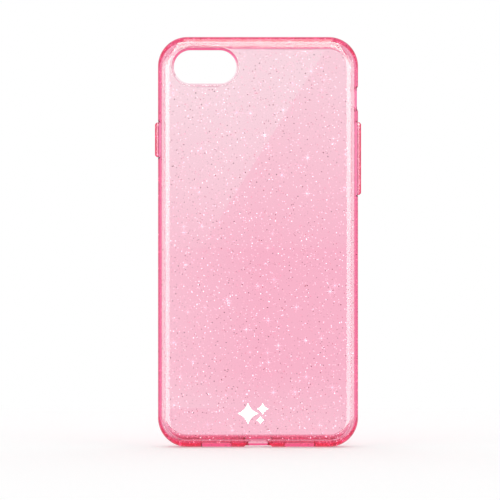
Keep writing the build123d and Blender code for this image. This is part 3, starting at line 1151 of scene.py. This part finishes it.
UNLIT.collection_objects[0].light_linking.link_state = "EXCLUDE"


def softbox(name, place, aim, width, height, radiance):
    lamp = bpy.data.lights.new(name, "AREA")
    lamp.shape = "RECTANGLE"
    lamp.size, lamp.size_y = width, height
    lamp.energy = radiance * math.pi * width * height
    lamp.color = LAMP_COLOUR
    box = bpy.data.objects.new(name, lamp)
    scene.collection.objects.link(box)
    box.location = place
    box.rotation_euler = (Vector(aim) - Vector(place)).to_track_quat("-Z", "Y").to_euler()
    box.visible_camera = box.visible_transmission = False
    box.light_linking.receiver_collection = UNLIT


for row in SOFTBOXES:
    softbox(*row)
print("softboxes:", len(SOFTBOXES))

# %% [markdown]
# ## The broad gloss on the back
# A wide slanted sheen lies over the upper left of the back. One could hang a bright card in front
# and let the plastic mirror it, but clear plastic mirrors only a twenty-fifth of the light, so few
# samples would find the card and the noise would bury the glitter. Light that comes through
# the plastic is clean, so the cards hang behind the case, and only rays that have passed
# through it can see them. Each is a veil: clear, with a glow that fades over its height or width.
# Each also wears a honeycomb grid, as a real softbox does, so that it glows only straight ahead
# and its edges never show from the side.

# %% Cards behind the case
CARD_GLOW = (0.0, 1.0, 0.56, 1)
GRID_OPEN, GRID_SHUT = 0.012, 0.05
BACK_CARDS = [
    # name, outline in mm on the back, how far behind, strength, fades over z and over x in mm
    ("sloped_card", [(-45, 85), (34.8, 85), (-20.2, -2.8), (-45, -42.4)],
     0.30, 0.135, (-12, 18), (-36, -8)),
    ("upper_card", [(-45, 85), (45, 85), (45, -2), (-45, -2)], 0.31, 0.36, (-8, 56), None),
    ("lower_card", [(-45, -44), (45, -44), (45, -69), (-45, -69)], 0.03, 0.17, (-45, -64), None),
    ("left_card", [(-45, 85), (10, 85), (10, -85), (-45, -85)], 0.33, 0.17, None, (0, -34)),
]


def behind(x_mm, z_mm, card_y):
    """Where a point of the back lies on a card behind it, along the camera's line of sight."""
    share = card_y / CAMERA_DISTANCE
    x, z = x_mm * MM, z_mm * MM
    return Vector((x + (x - CAMERA_X) * share, card_y, z + (z - CAMERA_Z) * share))


def fade_node(tree, source, start, end):
    """A mask that rises from 0 at one place to 1 at another."""
    fade = new_node(tree, "ShaderNodeMapRange", {"From Min": start, "From Max": end})
    tree.links.new(source, fade.inputs["Value"])
    return fade.outputs["Result"]


def back_card(name, outline_mm, card_y, strength, fade_z_mm, fade_x_mm):
    """A glowing veil behind the case, for light that comes through the plastic."""
    bm = bmesh.new()
    bm.faces.new([bm.verts.new(behind(x, z, card_y)) for x, z in outline_mm])
    card = as_object(bm, name)
    material, tree, out = empty_material(name)
    link = tree.links.new
    where = new_node(tree, "ShaderNodeTexCoord")
    split = new_node(tree, "ShaderNodeSeparateXYZ")
    level = new_node(tree, "ShaderNodeMath", {0: 1.0, 1: 1.0}, operation="MULTIPLY")
    slant = new_node(tree, "ShaderNodeLayerWeight", {"Blend": 0.5})
    ahead = new_node(tree, "ShaderNodeMath", operation="MULTIPLY")
    power = new_node(tree, "ShaderNodeMath", {1: strength}, operation="MULTIPLY")
    glow = new_node(tree, "ShaderNodeEmission", {"Color": CARD_GLOW})
    veil = new_node(tree, "ShaderNodeBsdfTransparent")
    both = new_node(tree, "ShaderNodeAddShader")
    link(where.outputs["Object"], split.inputs["Vector"])
    if fade_z_mm:
        places = [behind(0, z, card_y).z for z in fade_z_mm]
        link(fade_node(tree, split.outputs["Z"], *places), level.inputs[0])
    if fade_x_mm:
        places = [behind(x, 0, card_y).x for x in fade_x_mm]
        link(fade_node(tree, split.outputs["X"], *places), level.inputs[1])
    link(level.outputs[0], ahead.inputs[0])
    link(fade_node(tree, slant.outputs["Facing"], GRID_SHUT, GRID_OPEN), ahead.inputs[1])
    link(ahead.outputs[0], power.inputs[0])
    link(power.outputs[0], glow.inputs["Strength"])
    link(glow.outputs["Emission"], both.inputs[0])
    link(veil.outputs["BSDF"], both.inputs[1])
    link(both.outputs["Shader"], out.inputs["Surface"])
    material.cycles.emission_sampling = "NONE"
    dress(card, material)
    card.visible_camera = card.visible_diffuse = card.visible_glossy = card.visible_shadow = False


for row in BACK_CARDS:
    back_card(*row)
print("cards hung:", len(BACK_CARDS))
